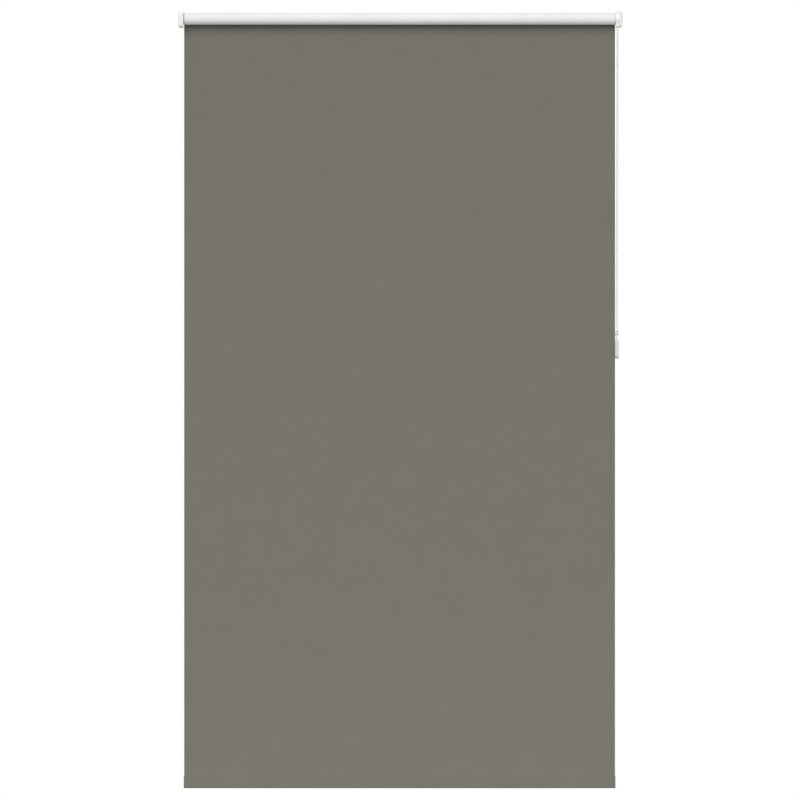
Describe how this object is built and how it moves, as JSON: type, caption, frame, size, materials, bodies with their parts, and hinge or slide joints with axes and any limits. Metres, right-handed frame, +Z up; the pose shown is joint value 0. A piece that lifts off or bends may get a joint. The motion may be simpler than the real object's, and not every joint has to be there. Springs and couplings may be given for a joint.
{
  "type": "roller blind",
  "caption": "Roller blind with domed bracket covers, bead-chain clutch at one end, spring pin idle end, hem bar and chain tensioner.",
  "frame": {"origin": "centre of the four wall screw holes, on the wall plane, level with the roller's axis", "axes": "+X along the roller towards the chain side, +Y into the wall, +Z up"},
  "size_m": [1, 0.047, 1.75],
  "materials": {
    "zinc_steel": "zinc plated",
    "white_plastic": "satin moulded",
    "white_acetal": "satin moulded",
    "spring_steel": "bright wire",
    "chain_plastic": "moulded beads",
    "clear_plastic": "translucent moulded",
    "aluminium": "extruded, mill finish",
    "tape": "adhesive film",
    "cloth_back": "white coated back",
    "cloth": "fine plain weave, taupe grey",
    "grey_plastic": "satin moulded"
  },
  "bodies": {
    "mounting": {"bracket_left": "zinc_steel", "bracket_right": "zinc_steel", "bracket_cover_left": "white_plastic", "bracket_cover_right": "white_plastic", "clutch_spindle": "white_acetal", "clutch_retainer": "spring_steel", "clutch_housing": "white_plastic", "bead_chain_front": "chain_plastic", "bead_chain_back": "chain_plastic", "bead_chain_upper_turn": "chain_plastic", "bead_chain_lower_turn": "chain_plastic", "chain_connector": "clear_plastic", "tensioner_case_left": "clear_plastic", "tensioner_case_right": "clear_plastic", "tensioner_axle": "spring_steel"},
    "roller": {"roller_tube": "aluminium", "cloth_tape": "tape", "cloth_roll": "cloth_back", "idle_end_plug": "white_acetal", "idle_spring": "spring_steel", "clutch_drive_sleeve": "white_acetal"},
    "pin": {"idle_pin": "spring_steel"},
    "sprocket": {"chain_sprocket": "white_acetal", "clutch_wrap_springs": "spring_steel"},
    "lift": {"cloth_panel": "cloth", "cloth_hem": "cloth", "bottom_bar": "aluminium", "bottom_bar_cap_left": "grey_plastic", "bottom_bar_cap_right": "grey_plastic"},
    "wheel": {"tensioner_wheel": "white_acetal"}
  },
  "joints": [
    {"name": "cloth_lift", "type": "slide", "parent": "mounting", "child": "lift", "axis": [0, 0, 1], "range_m": [0, 1.67], "deforming": ["cloth_panel"]},
    {"name": "roller_turn", "type": "hinge", "parent": "mounting", "child": "roller", "pos_m": [0, -0.028, 0], "axis": [1, 0, 0], "range_deg": [0, 6120]},
    {"name": "sprocket_turn", "type": "hinge", "parent": "mounting", "child": "sprocket", "pos_m": [0.4895, -0.028, 0], "axis": [1, 0, 0], "range_deg": [0, 6120]},
    {"name": "tensioner_wheel_turn", "type": "hinge", "parent": "mounting", "child": "wheel", "pos_m": [0.4877, -0.028, -0.756], "axis": [1, 0, 0], "range_deg": [0, 10200]},
    {"name": "idle_pin_slide", "type": "slide", "parent": "roller", "child": "pin", "axis": [1, 0, 0], "range_m": [0, 0.005], "stiffness_N_per_m": 600, "springref_m": -0.005, "deforming": ["idle_spring"]}
  ],
  "couplings": [
    {"joint": "roller_turn", "follows": "cloth_lift", "rad_per_m": 63.961},
    {"joint": "sprocket_turn", "follows": "cloth_lift", "rad_per_m": 63.961},
    {"joint": "tensioner_wheel_turn", "follows": "cloth_lift", "rad_per_m": 106.6}
  ]
}
